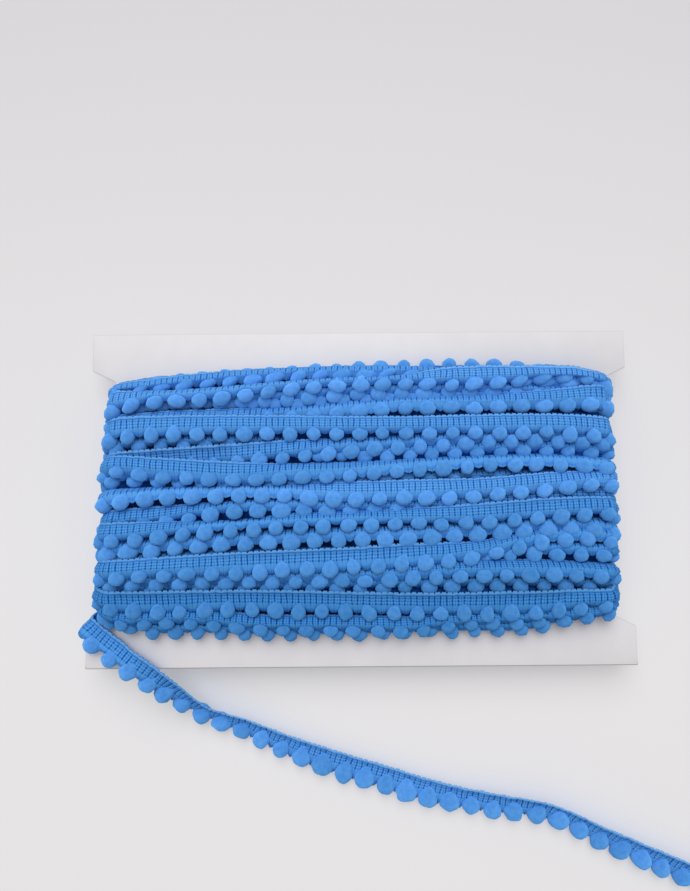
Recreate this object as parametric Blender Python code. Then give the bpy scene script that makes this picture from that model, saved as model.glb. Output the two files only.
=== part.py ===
"""Pompom fringe trim wound on a card, with the loose end of its last turn lying out on the surface.

The card lies on the back of its winding, face up. Metres, +Z up, +X along the card's long side, +Y from
its bottom edge to its top edge. The origin is on the surface under the middle of the winding.
"""

import math
from collections import namedtuple

import bmesh
import bpy
from mathutils import Vector

MM = 0.001
GAP = 0.3 * MM  # between pieces that touch

# Winding card: a plain board with a straight neck between two flanges.
CARD_WIDTH = 200.0 * MM
CARD_HEIGHT = 123.2 * MM
CARD_THICKNESS = 2.4 * MM
FLANGE_SIDE = 14.0 * MM  # height of a flange at the card's side edge
FLANGE_CHAMFER = 4.1 * MM  # further height that it gains on its way to the neck
NECK_INSET = 8.5 * MM  # neck edge in from the side edge

# Trim: a ribbed heading tape with a row of pompoms along its lower edge.
POMPOM_RADIUS = 2.95 * MM
POMPOM_PITCH = 8.2 * MM
POMPOM_DROP = 6.75 * MM  # pompom centre below the tape's upper edge
TAPE_THICKNESS = 1.1 * MM

# Wound trim: its outline round the neck, measured from the middle of the board's thickness.
WINDING_BACK = 12.0 * MM  # thickness behind the board
WINDING_SIDE_REACH = 4.2 * MM  # past the neck's side edges
WINDING_CORNER = 13.0 * MM  # length over which each face turns down to a side
FURROW_DEPTH = 2.6 * MM  # of the tape between two rows of pompoms, below those rows
FURROW_SIDE_DEPTH = 1.4 * MM
CREST_HALF_WIDTH = 1.2 * MM
END_HEIGHT = 0.62  # height of the winding's two end turns, as a share of a full row
FACE_STEPS = 12  # spans across one face
CORNER_STEPS = 5  # spans round one quarter of a side

CARD_BACK_Z = WINDING_BACK
CARD_FRONT_Z = CARD_BACK_Z + CARD_THICKNESS
CARD_MIDDLE_Z = CARD_BACK_Z + CARD_THICKNESS / 2
NECK_HALF_WIDTH = CARD_WIDTH / 2 - NECK_INSET

# Rows of pompoms across the winding's front, top row first, in mm: Y at the left side, in the middle and at
# the right side, Y in the middle of the back, and height above the board's front.
Row = namedtuple("Row", "left middle right back height")
ROWS = (
    Row(37.5, 43.0, 40.6, 40.5, 11.4),
    Row(30.4, 31.3, 32.0, 32.5, 12.0),
    Row(21.8, 22.7, 21.4, 24.5, 12.4),
    Row(14.6, 15.4, 16.6, 16.5, 11.8),
    Row(8.0, 7.0, 9.6, 8.2, 12.4),
    Row(-1.6, -0.8, 3.0, 0.0, 12.2),
    Row(-14.0, -9.9, -7.2, -8.2, 12.4),
    Row(-20.2, -16.4, -13.6, -16.4, 11.6),
    Row(-28.4, -27.4, -22.4, -24.6, 12.4),
    Row(-36.2, -38.0, -35.0, -32.6, 12.0),
    Row(-41.0, -46.6, -41.0, -40.6, 10.8),
)
TOP_END = Row(41.0, 47.4, 43.1, 44.0, 11.4)
BOTTOM_END = Row(-43.1, -50.6, -43.1, -44.4, 10.8)

# Loose end: points of the line through its pompoms, in mm, and the tape's tilt in degrees. At 0 the tape
# lies level on the far side of the pompoms, and at 90 it stands straight up from them.
Stop = namedtuple("Stop", "x y z tilt")
LOOSE_END = (
    Stop(-99.3, -49.6, 17.7, -5),
    Stop(-96.1, -52.2, 17.7, -5),
    Stop(-89.8, -56.7, 17.75, 0),
    Stop(-83.8, -60.9, 17.8, 9),
    Stop(-78.0, -65.2, 15.6, 16),
    Stop(-72.4, -70.4, 11.8, 24),
    Stop(-66.5, -75.5, 7.8, 37),
    Stop(-59.6, -80.3, 4.6, 49),
    Stop(-52.3, -84.1, 3.2, 49),
    Stop(-44.2, -87.3, 3.0, 47),
    Stop(-28.7, -94.9, 3.0, 34),
    Stop(-11.2, -101.2, 3.0, 30),
    Stop(7.9, -107.0, 3.0, 30),
    Stop(27.6, -112.6, 3.0, 32),
    Stop(48.0, -116.1, 3.0, 38),
    Stop(68.8, -118.9, 3.0, 44),
    Stop(88.4, -127.7, 3.0, 43),
    Stop(108.7, -136.7, 3.0, 44),
    Stop(134.0, -147.2, 3.0, 45),
)
FIRST_POMPOM = 3.7 * MM  # along the loose end
POMPOMS = 32
# Depth of the loose tape's lower edge below its upper edge, at four places on each pitch from one pompom to
# the next, in mm: it is cut back round each pompom and hangs down between two.
EDGE_DEPTHS = (3.4, 4.0, 5.4, 4.0)


def material(name, colour, roughness):
    """A Principled material in one linear colour."""
    made = bpy.data.materials.new(name)
    made.use_nodes = True
    shader = made.node_tree.nodes["Principled BSDF"]
    shader.inputs["Base Color"].default_value = (*colour, 1.0)
    shader.inputs["Roughness"].default_value = roughness
    shader.inputs["Metallic"].default_value = 0.0
    return made


def add_object(name, data, collection, dress=None):
    made = bpy.data.objects.new(name, data)
    collection.objects.link(made)
    if dress:
        data.materials.append(dress)
    return made


def card_curve(name, grow, collection, dress=None):
    """The card's outline as a filled curve with its thickness, with every face moved out by grow."""
    side = CARD_WIDTH / 2 + grow
    neck = NECK_HALF_WIDTH + grow
    top = CARD_HEIGHT / 2 + grow
    shoulder = CARD_HEIGHT / 2 - FLANGE_SIDE - grow
    notch = shoulder - FLANGE_CHAMFER
    quarter = [(side, top), (side, shoulder), (neck, notch)]
    right = quarter + [(x, -y) for x, y in reversed(quarter)]
    outline = right + [(-x, y) for x, y in reversed(right)]
    curve = bpy.data.curves.new(name, "CURVE")
    curve.dimensions = "2D"
    curve.fill_mode = "BOTH"
    curve.extrude = CARD_THICKNESS / 2 + grow
    spline = curve.splines.new("POLY")
    spline.points.add(len(outline) - 1)
    for point, (x, y) in zip(spline.points, outline):
        point.co = (x, y, 0.0, 1.0)
    spline.use_cyclic_u = True
    made = add_object(name, curve, collection, dress)
    made.location.z = CARD_MIDDLE_Z
    return made


def card_cutter(collection):
    """The card with its clearance, as a mesh that a Boolean can cut with."""
    curve = card_curve("card_clearance_outline", GAP, collection)
    bpy.context.view_layer.update()
    graph = bpy.context.evaluated_depsgraph_get()
    mesh = bpy.data.meshes.new_from_object(curve.evaluated_get(graph))
    work = bmesh.new()
    work.from_mesh(mesh)
    bmesh.ops.remove_doubles(work, verts=work.verts, dist=GAP / 100)
    bmesh.ops.recalc_face_normals(work, faces=work.faces)
    work.to_mesh(mesh)
    work.free()
    cutter = add_object("card_clearance", mesh, collection)
    cutter.matrix_world = curve.matrix_world
    cutter.hide_render = True
    cutter.display_type = "WIRE"
    bpy.data.objects.remove(curve)
    return cutter


def loft(name, rings, collection, dress):
    """A closed solid through rings of equal, even length.

    Point 0 and the middle point of a ring are its two ends, and the rest face each other in pairs, so each
    cap is a row of narrow faces between those pairs.
    """
    work = bmesh.new()
    loops = [[work.verts.new(point) for point in ring] for ring in rings]
    count = len(rings[0])
    for near, far in zip(loops, loops[1:]):
        for i in range(count):
            after = (i + 1) % count
            work.faces.new((near[i], near[after], far[after], far[i]))
    for cap in (loops[0], loops[-1]):
        for i in range(count // 2):
            corners = (cap[i], cap[i + 1], cap[-i - 1], cap[-i % count])
            work.faces.new(dict.fromkeys(corners))
    bmesh.ops.recalc_face_normals(work, faces=work.faces)
    mesh = bpy.data.meshes.new(name)
    work.to_mesh(mesh)
    work.free()
    return add_object(name, mesh, collection, dress)


def through(left, middle, right, across):
    """The value at across, from -1 to 1, of the parabola through three values."""
    slope = (right - left) / 2
    bend = (right + left) / 2 - middle
    return middle + slope * across + bend * across * across


def winding_ring(row, shift, height, drop, side_drop):
    """One closed line round the winding: over the front from left to right, then back over the back."""
    front = (CARD_THICKNESS / 2 + row.height * MM) * height - drop
    back = (CARD_THICKNESS / 2 + WINDING_BACK) * height - drop
    tip = NECK_HALF_WIDTH + WINDING_SIDE_REACH - side_drop
    bend = tip - WINDING_CORNER
    quarter = [
        (bend + WINDING_CORNER * math.sin(turn), math.cos(turn))
        for turn in (math.pi / 2 * i / CORNER_STEPS for i in range(1, CORNER_STEPS + 1))
    ]
    flat = [(bend * (2 * i / FACE_STEPS - 1), 1.0) for i in range(FACE_STEPS + 1)]
    face = [(-x, rise) for x, rise in reversed(quarter)] + flat + quarter
    ring = []
    for x, rise in face:
        y = through(row.left, row.middle, row.right, x / tip)
        ring.append((x, y * MM + shift, CARD_MIDDLE_Z + front * rise))
    for x, rise in reversed(face[1:-1]):
        y = through(row.left, row.back, row.right, x / tip)
        ring.append((x, y * MM + shift, CARD_MIDDLE_Z - back * rise))
    return ring


def add_wound_trim(collection, guides, dress):
    """All turns as one ring round the neck, with a ridge for each row of pompoms."""
    rings = [winding_ring(TOP_END, 0.0, END_HEIGHT, 0.0, FURROW_SIDE_DEPTH)]
    for i, row in enumerate(ROWS):
        rings.append(winding_ring(row, CREST_HALF_WIDTH, 1.0, 0.0, 0.0))
        rings.append(winding_ring(row, -CREST_HALF_WIDTH, 1.0, 0.0, 0.0))
        if i + 1 < len(ROWS):
            between = Row(*((a + b) / 2 for a, b in zip(row, ROWS[i + 1])))
            rings.append(winding_ring(between, 0.0, 1.0, FURROW_DEPTH, FURROW_SIDE_DEPTH))
    rings.append(winding_ring(BOTTOM_END, 0.0, END_HEIGHT, 0.0, FURROW_SIDE_DEPTH))
    trim = loft("wound_trim", rings, collection, dress)
    cut = trim.modifiers.new("room for the card", "BOOLEAN")
    cut.operation = "DIFFERENCE"
    cut.object = card_cutter(guides)


def loose_end_at(place):
    """The smooth curve through the loose end's stops at place, counted in stops: its point and its tilt."""
    index = min(int(place), len(LOOSE_END) - 2)
    part = place - index
    last = len(LOOSE_END) - 1
    before, start, end, after = (
        Vector(LOOSE_END[min(max(index + step, 0), last)]) for step in (-1, 0, 1, 2)
    )
    value = (
        start * 2
        + (end - before) * part
        + (before * 2 - start * 5 + end * 4 - after) * part**2
        + (start * 3 - before - end * 3 + after) * part**3
    ) / 2
    return Vector(value[:3]) * MM, math.radians(value[3])


def loose_end_stations(step):
    """Points at equal steps along the loose end: (point, direction up the tape, direction through it)."""
    fine = 40  # samples a stop
    samples = [loose_end_at(i / fine) for i in range((len(LOOSE_END) - 1) * fine + 1)]
    stations = []
    travelled = 0.0
    for (point, tilt), (ahead, _) in zip(samples, samples[1:]):
        length = (ahead - point).length
        while len(stations) * step <= travelled + length:
            along = (ahead - point).normalized()
            level = Vector((-along.y, along.x, 0.0)).normalized()
            upward = along.cross(level)
            up_tape = level * math.cos(tilt) + upward * math.sin(tilt)
            share = (len(stations) * step - travelled) / length
            stations.append((point.lerp(ahead, share), up_tape, along.cross(up_tape)))
        travelled += length
    return stations


def add_loose_end(collection, tape_dress, pompom_dress):
    """The tape of the loose end, its lower edge scalloped round the pompoms, and each pompom."""
    steps = len(EDGE_DEPTHS)
    stations = loose_end_stations(POMPOM_PITCH / steps)
    first = round(FIRST_POMPOM / POMPOM_PITCH * steps)
    last = min(len(stations), first + (POMPOMS - 1) * steps + steps // 2 + 1)
    rings = []
    for i, (point, up_tape, outward) in enumerate(stations[:last]):
        upper = point + up_tape * POMPOM_DROP
        lower = upper - up_tape * EDGE_DEPTHS[(i - first) % steps] * MM
        half = outward * (TAPE_THICKNESS / 2)
        rings.append((upper - half, upper + half, lower + half, lower - half))
    loft("loose_end_tape", rings, collection, tape_dress)
    for number in range(1, POMPOMS + 1):
        centre = stations[first + (number - 1) * steps][0]
        mesh = bpy.data.meshes.new(f"pompom_{number:02d}")
        work = bmesh.new()
        bmesh.ops.create_icosphere(work, subdivisions=2, radius=POMPOM_RADIUS)
        work.to_mesh(mesh)
        work.free()
        mesh.shade_smooth()
        pompom = add_object(mesh.name, mesh, collection, pompom_dress)
        pompom.location = centre


def main():
    for old in list(bpy.data.objects):
        bpy.data.objects.remove(old)
    parts = bpy.data.collections.new("Pompom fringe trim on a card")
    guides = bpy.data.collections.new("Cutters")
    for made in (parts, guides):
        bpy.context.scene.collection.children.link(made)
    board = material("white board", (0.72, 0.71, 0.71), 0.55)
    tape = material("blue polyester tape", (0.055, 0.26, 0.72), 0.85)
    felted = material("blue felted yarn", (0.065, 0.29, 0.76), 0.95)
    card_curve("winding_card", 0.0, parts, board)
    add_wound_trim(parts, guides, tape)
    add_loose_end(parts, tape, felted)


main()
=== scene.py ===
"""Looks of the pompom fringe trim wound on its card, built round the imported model.

The trim is a narrow knitted heading tape with felted pompoms along its lower edge. Its outer turns are
followed one by one round the card's neck, each as a closed ring of tape with its own pompoms, over a dark
body of inner turns. The loose end is one more length of the same trim.
"""

import bisect
import logging
import math
import random
from collections.abc import Iterable, Sequence
from dataclasses import dataclass, replace
from enum import Enum
from itertools import accumulate

import bmesh
import bpy
from bmesh.types import BMesh
from bpy.types import Material, Node, NodeTree, Object
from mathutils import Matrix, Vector, noise


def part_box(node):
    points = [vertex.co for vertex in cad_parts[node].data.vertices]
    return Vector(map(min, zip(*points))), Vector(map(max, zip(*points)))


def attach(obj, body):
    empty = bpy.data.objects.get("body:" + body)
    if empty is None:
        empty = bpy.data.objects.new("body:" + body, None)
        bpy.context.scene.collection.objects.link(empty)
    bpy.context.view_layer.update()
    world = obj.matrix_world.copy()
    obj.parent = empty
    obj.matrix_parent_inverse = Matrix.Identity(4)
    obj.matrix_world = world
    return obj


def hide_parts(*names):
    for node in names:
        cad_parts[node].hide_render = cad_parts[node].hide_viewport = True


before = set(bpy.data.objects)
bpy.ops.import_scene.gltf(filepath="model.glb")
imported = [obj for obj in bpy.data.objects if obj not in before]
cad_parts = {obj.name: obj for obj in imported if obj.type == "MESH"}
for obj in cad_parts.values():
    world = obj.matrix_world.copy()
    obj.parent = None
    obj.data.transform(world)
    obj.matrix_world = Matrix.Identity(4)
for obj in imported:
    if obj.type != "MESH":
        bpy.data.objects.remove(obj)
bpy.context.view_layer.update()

BODY = "root"
MM = 0.001
RESTING = 0.05 * MM  # the lowest point of the trim, pressed flat on the surface
KNIT_SEED = 7  # of the knit's unevenness, which would otherwise change from run to run

log = logging.getLogger("pompom_trim")


# ---- colours and nodes


def linear(code: str) -> tuple[float, float, float, float]:
    """Turn an sRGB hex value into a linear colour.

    Args:
        code: Six hex digits.

    Returns:
        Red, green, blue and an alpha of 1.
    """
    parts = [int(code[i : i + 2], 16) / 255 for i in (0, 2, 4)]
    red, green, blue = (p / 12.92 if p <= 0.04045 else ((p + 0.055) / 1.055) ** 2.4 for p in parts)
    return (red, green, blue, 1.0)


def add_node(tree: NodeTree, kind: str, settings: dict[str | int, object]) -> Node:
    """Add one node with its settings and links.

    Args:
        tree: The node tree that it goes into.
        kind: The node's type name, without the ShaderNode that each starts with.
        settings: Values by input name or number, or by the name of the node's own setting. A value that is
            another node's output makes a link, and a whole node stands for the first output in use.

    Returns:
        The new node.
    """
    node = tree.nodes.new("ShaderNode" + kind)
    own = [name for name in settings if isinstance(name, str) and name not in node.inputs]
    for name in own:
        setattr(node, name, settings[name])
    for name in [name for name in settings if name not in own]:
        value = settings[name]
        if isinstance(value, Node):
            value = next(socket for socket in value.outputs if socket.enabled)
        if isinstance(value, bpy.types.NodeSocket):
            tree.links.new(value, node.inputs[name])
        else:
            node.inputs[name].default_value = value
    return node


def tint_by_tone_and_painted_shade(tree: NodeTree, colour: Node, deeper: float) -> Node:
    """Tint a colour by the piece's tone, which its vertices carry: a random tone, with painted light and
    shade.

    Args:
        tree: The material's node tree.
        colour: The colour at a tone of 1.
        deeper: Saturation gained as the tone falls, as in painted shade.

    Returns:
        The dyed colour.
    """
    tone = add_node(tree, "Attribute", {"attribute_name": "tone"}).outputs["Fac"]
    depth = add_node(tree, "Math", {"operation": "MULTIPLY_ADD", 0: tone, 1: -deeper, 2: 1 + deeper})
    return add_node(tree, "HueSaturation", {"Saturation": depth, "Value": tone, "Color": colour})


# ---- finishes


class Finish:
    """A finish that makes its own material."""

    def make(self, name: str) -> Material:
        """Build the material.

        Args:
            name: The material's name.

        Returns:
            The finished material.
        """
        made = bpy.data.materials.new(name)
        made.use_nodes = True
        tree = made.node_tree
        tree.nodes.clear()
        place = add_node(tree, "TexCoord", {}).outputs["Object"]
        add_node(tree, "OutputMaterial", {"Surface": self.shader(tree, place)})
        return made

    def shader(self, tree: NodeTree, place: bpy.types.NodeSocket) -> Node:
        """Lay the finish's own nodes.

        Args:
            tree: The material's node tree.
            place: The place on the piece, in metres.

        Returns:
            The shader.
        """
        raise NotImplementedError


@dataclass(frozen=True)
class FeltedYarn(Finish):
    """Polyester yarn cut and tumbled into felted balls.

    It is matt, a little cloudy where the fibres are denser, and paler at a grazing angle from fibre ends.
    """

    body: str = "6CB2F4"
    dense: str = "5BA5ED"
    halo: str = "5CA4FF"
    deeper: float = 0.14  # saturation gained as the tone falls, as in painted shade
    cloud: float = 1.6 * MM  # fibre clumps
    fibre: float = 0.35 * MM  # drawn coarser than the 0.05 mm of real fibre, so that it shows

    def shader(self, tree: NodeTree, place: bpy.types.NodeSocket) -> Node:
        """Lay the clouds, the fibres and the sheen of their ends.

        Args:
            tree: The material's node tree.
            place: The place on the piece, in metres.

        Returns:
            The shader.
        """
        clouds = add_node(tree, "TexNoise", {
            "Vector": place, "Scale": 1 / self.cloud, "Detail": 3.0, "Roughness": 0.6,
        })
        fibres = add_node(tree, "TexNoise", {
            "Vector": place, "Scale": 1 / self.fibre, "Detail": 2.0, "Roughness": 0.7, "Distortion": 0.6,
        })
        spread = add_node(tree, "MapRange", {"Value": clouds, "From Min": 0.35, "From Max": 0.65})
        tint = add_node(tree, "Mix", {
            "data_type": "RGBA", 0: spread, 6: linear(self.dense), 7: linear(self.body),
        })
        relief = add_node(tree, "Bump", {"Strength": 0.35, "Distance": 0.25 * MM, "Height": fibres})
        return add_node(tree, "BsdfPrincipled", {
            "Base Color": tint_by_tone_and_painted_shade(tree, tint, self.deeper), "Roughness": 0.95, "Diffuse Roughness": 1.0,
            "Specular IOR Level": 0.0, "Sheen Weight": 0.06, "Sheen Roughness": 0.5,
            "Sheen Tint": linear(self.halo), "Normal": relief,
        })


@dataclass(frozen=True)
class KnittedTape(Finish):
    """Polyester heading tape, warp knitted: upright ribs of stitches, joined by fine laid-in threads.

    Each rib is two columns of stitches with a fine groove between them. Between the ribs the eye sees small
    holes, crossed by the threads; the holes and grooves get painted shade, a dark blue in them. The tape's
    own map gives the place in ribs along it and in mm down from its upper edge.
    """

    rib: str = "5EA8EF"
    shadow: str = "1C6CD2"
    # painted shade in the holes and grooves
    hole_shade: str = "084CAC"
    # painted highlight along the upper edge, on its picot loops; also the sheen's tint
    picot: str = "86C0FA"
    deeper: float = 0.14  # saturation gained as the tone falls, as in painted shade
    thread_gap: float = 1.08  # mm between two laid-in threads, and so between two stitches on a rib
    rim: float = 0.78  # mm down to the line of holes under the picot edge, which gets painted shade
    stretch: float = 9.0 * MM  # over which the laid-in threads are pulled into sight and out of it

    def shader(self, tree: NodeTree, place: bpy.types.NodeSocket) -> Node:
        """Lay the stitches, the painted shade in the holes between them and the painted highlight on the
        upper edge.

        Args:
            tree: The material's node tree.
            place: The place on the piece, in metres.

        Returns:
            The shader.
        """
        knit = add_node(tree, "UVMap", {"uv_map": "knit"})
        axes = add_node(tree, "SeparateXYZ", {"Vector": knit})
        down = axes.outputs["Y"]
        rows = add_node(tree, "Math", {"operation": "DIVIDE", 0: down, 1: self.thread_gap})
        rib_phase, row_phase = (
            add_node(tree, "Math", {"operation": "FRACT", 0: count}) for count in (axes.outputs["X"], rows)
        )
        apart = []
        for value, middle in ((rib_phase, 0.5), (row_phase, 0.5), (down, self.rim)):
            offset = add_node(tree, "Math", {"operation": "SUBTRACT", 0: value, 1: middle})
            apart.append(add_node(tree, "Math", {"operation": "ABSOLUTE", 0: offset}))
        from_rib, from_row, from_rim = apart
        pull = add_node(tree, "TexNoise", {
            "Vector": place, "Scale": 1 / self.stretch, "Detail": 2.0, "Roughness": 0.7,
        })
        sunk_thread = add_node(tree, "MapRange", {
            "Value": pull, "From Min": 0.42, "From Max": 0.58, "To Min": 0.35, "To Max": 0.9,
        })
        ramps = {}
        for name, value, start, end, low, high in (
            ("gap between ribs", from_rib, 0.32, 0.44, 0.0, 0.9),
            ("groove in a rib", from_rib, 0.11, 0.02, 0.0, 0.5),
            ("between threads", from_row, 0.22, 0.36, 1.0, sunk_thread),
            ("above the lobes", down, 3.8, 4.5, 1.0, 0.25),
            ("below the edge", down, 0.35, 0.75, 0.0, 1.0),
            ("rim", from_rim, 0.05, 0.25, 0.5, 0.0),
            # painted highlight: lighter along the upper edge
            ("picot", down, 0.3, 0.7, 0.35, 0.0),
        ):
            ramps[name] = add_node(tree, "MapRange", {
                "interpolation_type": "SMOOTHSTEP", "Value": value,
                "From Min": start, "From Max": end, "To Min": low, "To Max": high,
            })
        # painted shade: dark in the gaps between ribs, in each rib's groove and in the line of holes under
        # the edge
        holes = ramps["gap between ribs"]
        for operation, name in (
            ("MAXIMUM", "groove in a rib"), ("MULTIPLY", "between threads"), ("MULTIPLY", "above the lobes"),
            ("MULTIPLY", "below the edge"), ("MAXIMUM", "rim"),
        ):
            holes = add_node(tree, "Math", {"operation": operation, 0: holes, 1: ramps[name]})
        stitches = add_node(tree, "TexWave", {
            "bands_direction": "Y", "Vector": knit, "Scale": 0.314 / self.thread_gap, "Distortion": 0.7,
            "Detail": 1.0, "Detail Scale": 2.0, "Phase Offset": math.pi,
        }).outputs["Fac"]
        between = add_node(tree, "MapRange", {
            "Value": stitches, "From Min": 0.4, "From Max": 0.0, "To Max": 0.5,
        })
        colour = linear(self.rib)
        for share, other in ((between, self.shadow), (ramps["picot"], self.picot), (holes, self.hole_shade)):
            colour = add_node(tree, "Mix", {"data_type": "RGBA", 0: share, 6: colour, 7: linear(other)})
        height = add_node(tree, "Math", {"operation": "SUBTRACT", 0: stitches, 1: holes})
        relief = add_node(tree, "Bump", {"Strength": 0.5, "Distance": 0.18 * MM, "Height": height})
        return add_node(tree, "BsdfPrincipled", {
            "Base Color": tint_by_tone_and_painted_shade(tree, colour, self.deeper), "Roughness": 0.85, "Specular IOR Level": 0.0,
            "Sheen Weight": 0.03, "Sheen Roughness": 0.5, "Sheen Tint": linear(self.picot), "Normal": relief,
        })


@dataclass(frozen=True)
class InnerYarnInPaintedShade(Finish):
    """The same trim deep in the winding, packed tight: only its dark shadows show, painted into its darker
    blues.
    """

    # painted shade: both blues much darker than the trim's own, for the shade deep in the winding
    light: str = "1C64BE"
    dark: str = "0C469C"
    lump: float = 3.0 * MM

    def shader(self, tree: NodeTree, place: bpy.types.NodeSocket) -> Node:
        """Lay the lumps.

        Args:
            tree: The material's node tree.
            place: The place on the piece, in metres.

        Returns:
            The shader.
        """
        lumps = add_node(tree, "TexNoise", {"Vector": place, "Scale": 1 / self.lump, "Detail": 4.0})
        tint = add_node(tree, "Mix", {
            "data_type": "RGBA", 0: lumps, 6: linear(self.dark), 7: linear(self.light),
        })
        relief = add_node(tree, "Bump", {"Strength": 0.6, "Distance": 0.5 * MM, "Height": lumps})
        return add_node(tree, "BsdfPrincipled", {
            "Base Color": tint, "Roughness": 0.95, "Specular IOR Level": 0.1, "Normal": relief,
        })


@dataclass(frozen=True)
class CoatedBoard(Finish):
    """White-lined board, die cut: a smooth coated face with a faint mottle, and a greyer fluffy cut edge.

    Its lowest cut edge is painted dark grey: a painted contact shadow.
    """

    face: str = "EBEAEC"
    mottle: str = "E2E1E4"
    cut: str = "D6D5D9"
    # painted contact shadow on the lowest cut edge
    painted_contact_shadow: str = "66656B"
    cloud: float = 9.0 * MM
    grain: float = 0.5 * MM
    contact_shadow_from: float = -0.0600  # Y on the card, in metres, below which the painted contact shadow starts
    contact_shadow_full: float = -0.0612

    def shader(self, tree: NodeTree, place: bpy.types.NodeSocket) -> Node:
        """Lay the mottle, the cut edge and the painted contact shadow on the lowest edge.

        Args:
            tree: The material's node tree.
            place: The place on the piece, in metres.

        Returns:
            The shader.
        """
        clouds = add_node(tree, "TexNoise", {"Vector": place, "Scale": 1 / self.cloud, "Detail": 5.0})
        grain = add_node(tree, "TexNoise", {"Vector": place, "Scale": 1 / self.grain, "Detail": 2.0})
        facing = add_node(tree, "NewGeometry", {}).outputs["True Normal"]
        upright = add_node(tree, "SeparateXYZ", {"Vector": facing}).outputs["Z"]
        up_card = add_node(tree, "SeparateXYZ", {"Vector": place}).outputs["Y"]
        level = add_node(tree, "Math", {"operation": "ABSOLUTE", 0: upright})
        cut = add_node(tree, "MapRange", {"Value": level, "From Min": 0.97, "From Max": 0.90})
        # painted contact shadow: the cut edge turns dark grey at the card's lowest edge
        lower = add_node(tree, "MapRange", {
            "Value": up_card, "From Min": self.contact_shadow_from, "From Max": self.contact_shadow_full,
        })
        tint, edge = (
            add_node(tree, "Mix", {"data_type": "RGBA", 0: share, 6: linear(one), 7: linear(other)})
            for share, one, other in ((clouds, self.mottle, self.face), (lower, self.cut, self.painted_contact_shadow))
        )
        trimmed = add_node(tree, "Mix", {"data_type": "RGBA", 0: cut, 6: tint, 7: edge})
        relief = add_node(tree, "Bump", {"Strength": 0.12, "Distance": 0.05 * MM, "Height": grain})
        return add_node(tree, "BsdfPrincipled", {
            "Base Color": trimmed, "Roughness": 0.5, "Specular IOR Level": 0.4, "Normal": relief,
        })


@dataclass(frozen=True)
class PaperFloor(Finish):
    """Plain pale background paper, with painted shade that greys it towards its far side.

    It also glows evenly, painted light that keeps shadows on it light.
    """

    near: str = "CBCACB"
    # painted shade at the far side
    far: str = "B9B8BB"
    near_y: float = -0.02
    far_y: float = 0.20
    # painted light: the paper emits white light
    painted_glow: float = 0.25

    def shader(self, tree: NodeTree, place: bpy.types.NodeSocket) -> Node:
        """Lay the painted shade towards the far side and the painted light that the paper emits.

        Args:
            tree: The material's node tree.
            place: The place on the piece, in metres.

        Returns:
            The shader.
        """
        across = add_node(tree, "SeparateXYZ", {"Vector": place}).outputs["Y"]
        painted_falloff = add_node(tree, "MapRange", {"Value": across, "From Min": self.near_y, "From Max": self.far_y})
        colour = add_node(tree, "Mix", {
            "data_type": "RGBA", 0: painted_falloff, 6: linear(self.near), 7: linear(self.far),
        })
        return add_node(tree, "BsdfPrincipled", {
            "Base Color": colour, "Roughness": 0.9, "Specular IOR Level": 0.1,
            "Emission Color": linear("FFFFFF"), "Emission Strength": self.painted_glow,
        })


# ---- pieces and paths


def add_object(name: str, data: bpy.types.ID) -> Object:
    """Put an object into the scene.

    Args:
        name: Its name.
        data: Its mesh, light or camera.

    Returns:
        The new object.
    """
    made = bpy.data.objects.new(name, data)
    bpy.context.scene.collection.objects.link(made)
    return made


def dress_mesh(work: BMesh, name: str, dress: Material) -> Object:
    """Turn a finished bmesh into an object of one material.

    Args:
        work: The mesh, in place. It is freed.
        name: The object's name.
        dress: Its material.

    Returns:
        The new object.
    """
    mesh = bpy.data.meshes.new(name)
    work.to_mesh(mesh)
    work.free()
    mesh.materials.append(dress)
    return add_object(name, mesh)


def finish_piece(work: BMesh, name: str, dress: Material, replaced: Iterable[str]) -> Object:
    """Turn a finished bmesh into a smooth piece that rides on the body.

    Args:
        work: The mesh, in place. It is freed.
        name: The piece's name.
        dress: Its material.
        replaced: The solids that it stands for.

    Returns:
        The new object.
    """
    bmesh.ops.recalc_face_normals(work, faces=work.faces)
    piece = dress_mesh(work, name, dress)
    piece.data.shade_smooth()
    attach(piece, BODY)
    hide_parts(*replaced)
    log.info("%s: %d faces", name, len(piece.data.polygons))
    return piece


@dataclass(frozen=True)
class Station:
    """One place on a length of trim."""

    pompom: Vector  # on the line through the pompoms' centres
    edge: Vector  # on the tape's upper edge
    along: Vector  # direction of travel
    outward: Vector  # direction out of the tape's face
    cover: float  # mm by which the net rides up over the pompoms, below 0 where it passes behind them


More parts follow.
